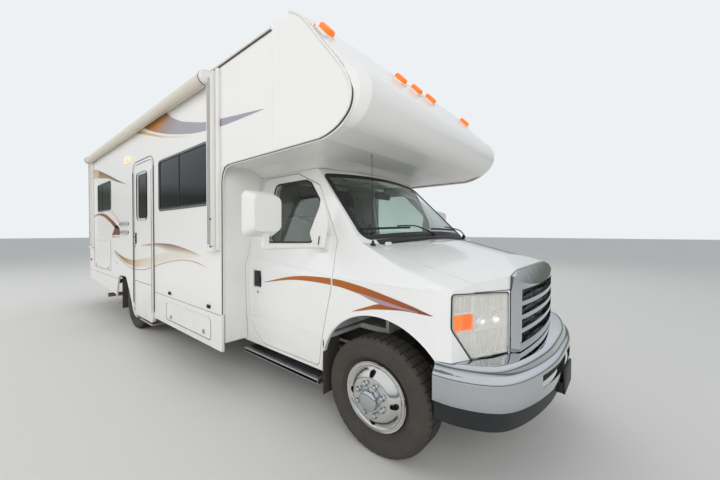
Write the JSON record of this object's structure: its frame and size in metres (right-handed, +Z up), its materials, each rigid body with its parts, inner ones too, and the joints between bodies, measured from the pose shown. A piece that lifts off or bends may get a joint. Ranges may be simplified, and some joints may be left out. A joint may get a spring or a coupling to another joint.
{
  "type": "class c motorhome",
  "caption": "Class C motorhome: a moulded coach body with a bunk over the cab on a van cutaway chassis with twin rear wheels.",
  "frame": {"origin": "centre of the footprint at ground level, under the middle of the overall length and width", "axes": "+X forward along the vehicle, +Y to its left, +Z up"},
  "size_m": [7.49, 3.08, 3.205],
  "materials": {
    "white_paint": "gloss",
    "white_moulding": "gloss gel coat",
    "chrome": "bright",
    "polished_steel": "polished",
    "tyre": "matte",
    "chassis_black": "satin",
    "bare_steel": "weathered",
    "exhaust_steel": "dull",
    "black_plastic": "textured",
    "white_plastic": "smooth",
    "aluminium": "satin",
    "glass_clear": "clear",
    "glass_dark": "tinted",
    "lamp_lens": "clear",
    "amber": "lens",
    "red": "lens",
    "seat_cloth": "woven",
    "wood": "satin",
    "dash_grey": "grained"
  },
  "bodies": {
    "root": {"awning": "white_plastic", "bumper_valance": "black_plastic", "cab_seats": "seat_cloth", "cab_shell": "white_paint", "cab_surround": "white_moulding", "cabin_furniture": "wood", "coach_floor": "wood", "coach_glass": "glass_dark", "coach_roof": "white_moulding", "coach_skirts": "white_moulding", "crossmembers": "chassis_black", "dashboard": "dash_grey", "engine": "bare_steel", "exhaust": "exhaust_steel", "frame_rails": "chassis_black", "front_axle": "chassis_black", "front_bumper": "chrome", "front_fenders": "white_paint", "front_grille": "chrome", "headlamps": "lamp_lens", "marker_lamps": "amber", "overcab_cap": "white_moulding", "rear_axle": "chassis_black", "rear_bumper": "chassis_black", "rear_ladder": "aluminium", "roof_aircon": "white_plastic", "roof_vents": "white_plastic", "running_boards": "aluminium", "steering_wheel": "black_plastic", "storage_bays": "black_plastic", "tail_lamps": "red", "tanks": "black_plastic", "wall_left": "white_moulding", "wall_rear": "white_moulding", "wall_right": "white_moulding", "window_frames": "black_plastic", "windshield": "glass_clear"},
    "cab_door_right": {"cab_door_right": "white_paint", "cab_door_glass_right": "glass_clear", "mirror_right": "white_plastic"},
    "cab_door_left": {"cab_door_left": "white_paint", "cab_door_glass_left": "glass_clear", "mirror_left": "white_plastic"},
    "hood": {"hood": "white_paint"},
    "entry_door": {"entry_door": "white_moulding", "entry_door_glass": "glass_dark"},
    "entry_step": {"entry_step": "aluminium"},
    "hatch_front_right": {"hatch_front_right": "white_moulding"},
    "hatch_rear_right": {"hatch_rear_right": "white_moulding"},
    "hatch_left": {"hatch_left": "white_moulding"},
    "knuckle_right": {"knuckle_right": "bare_steel"},
    "knuckle_left": {"knuckle_left": "bare_steel"},
    "front_wheel_right": {"front_rim_right": "polished_steel", "front_tyre_right": "tyre"},
    "front_wheel_left": {"front_rim_left": "polished_steel", "front_tyre_left": "tyre"},
    "rear_wheels_right": {"rear_rims_right": "polished_steel", "rear_tyres_right": "tyre"},
    "rear_wheels_left": {"rear_rims_left": "polished_steel", "rear_tyres_left": "tyre"}
  },
  "joints": [
    {"name": "cab_door_right_hinge", "type": "hinge", "parent": "root", "child": "cab_door_right", "pos_m": [2.525, -0.992, 1.2], "axis": [0, 0, 1], "range_deg": [0, 70]},
    {"name": "cab_door_left_hinge", "type": "hinge", "parent": "root", "child": "cab_door_left", "pos_m": [2.525, 0.992, 1.2], "axis": [0, 0, -1], "range_deg": [0, 70]},
    {"name": "hood_hinge", "type": "hinge", "parent": "root", "child": "hood", "pos_m": [2.855, 0, 1.345], "axis": [0, -1, 0], "range_deg": [0, 50]},
    {"name": "entry_door_hinge", "type": "hinge", "parent": "root", "child": "entry_door", "pos_m": [-0.19, -1.256, 1.3], "axis": [0, 0, 1], "range_deg": [0, 120]},
    {"name": "entry_step_slide", "type": "slide", "parent": "root", "child": "entry_step", "axis": [0, -1, 0], "range_m": [0, 0.24]},
    {"name": "hatch_front_right_hinge", "type": "hinge", "parent": "root", "child": "hatch_front_right", "pos_m": [0.745, -1.256, 0.623], "axis": [-1, 0, 0], "range_deg": [0, 110]},
    {"name": "hatch_rear_right_hinge", "type": "hinge", "parent": "root", "child": "hatch_rear_right", "pos_m": [-2.7285, -1.256, 1.291], "axis": [-1, 0, 0], "range_deg": [0, 110]},
    {"name": "hatch_left_hinge", "type": "hinge", "parent": "root", "child": "hatch_left", "pos_m": [-2.7285, 1.256, 1.291], "axis": [1, 0, 0], "range_deg": [0, 110]},
    {"name": "steer_right", "type": "hinge", "parent": "root", "child": "knuckle_right", "pos_m": [2.875, -0.77, 0.372], "axis": [0, 0, 1], "range_deg": [-32, 32]},
    {"name": "steer_left", "type": "hinge", "parent": "root", "child": "knuckle_left", "pos_m": [2.875, 0.77, 0.372], "axis": [0, 0, 1], "range_deg": [-32, 32]},
    {"name": "front_wheel_right_spin", "type": "hinge", "parent": "knuckle_right", "child": "front_wheel_right", "pos_m": [2.875, -0.88, 0.372], "axis": [0, 1, 0], "continuous": true},
    {"name": "front_wheel_left_spin", "type": "hinge", "parent": "knuckle_left", "child": "front_wheel_left", "pos_m": [2.875, 0.88, 0.372], "axis": [0, 1, 0], "continuous": true},
    {"name": "rear_wheels_right_spin", "type": "hinge", "parent": "root", "child": "rear_wheels_right", "pos_m": [-1.138, -0.93, 0.372], "axis": [0, 1, 0], "continuous": true},
    {"name": "rear_wheels_left_spin", "type": "hinge", "parent": "root", "child": "rear_wheels_left", "pos_m": [-1.138, 0.93, 0.372], "axis": [0, 1, 0], "continuous": true}
  ],
  "couplings": [
    {"joint": "steer_left", "follows": "steer_right", "ratio": 1}
  ]
}
